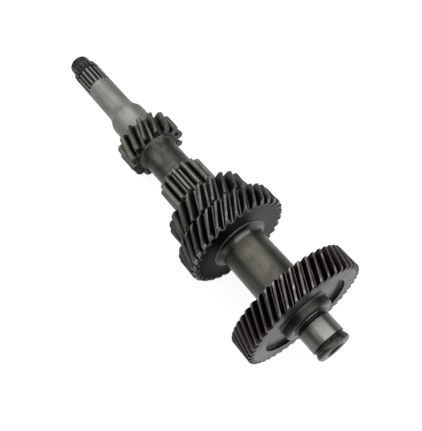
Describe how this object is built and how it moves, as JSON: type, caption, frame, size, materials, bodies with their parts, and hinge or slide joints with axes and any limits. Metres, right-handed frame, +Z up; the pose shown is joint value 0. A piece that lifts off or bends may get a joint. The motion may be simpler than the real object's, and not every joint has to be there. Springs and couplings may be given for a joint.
{
  "type": "transmission cluster gear",
  "caption": "Gearbox cluster gear: helical gears and a straight-toothed gear cut on one shaft, with ground bearing journals and a splined end.",
  "frame": {"origin": "centre of the end journal: on the shaft axis, midway along the journal's ground wall", "axes": "+Z up. The part lies as it comes to rest, on two teeth of the third gear and on its splined end. The shaft axis lies in the XZ plane and rises 8.44 degrees towards +X, where the end journal is; the splined end is at -X."},
  "size_m": [0.3602, 0.1058, 0.1109],
  "materials": {
    "steel": "machined and ground gear steel: dark oiled teeth, bright ground journals"
  },
  "bodies": {
    "root": {"cluster_gear": "steel"}
  },
  "joints": []
}
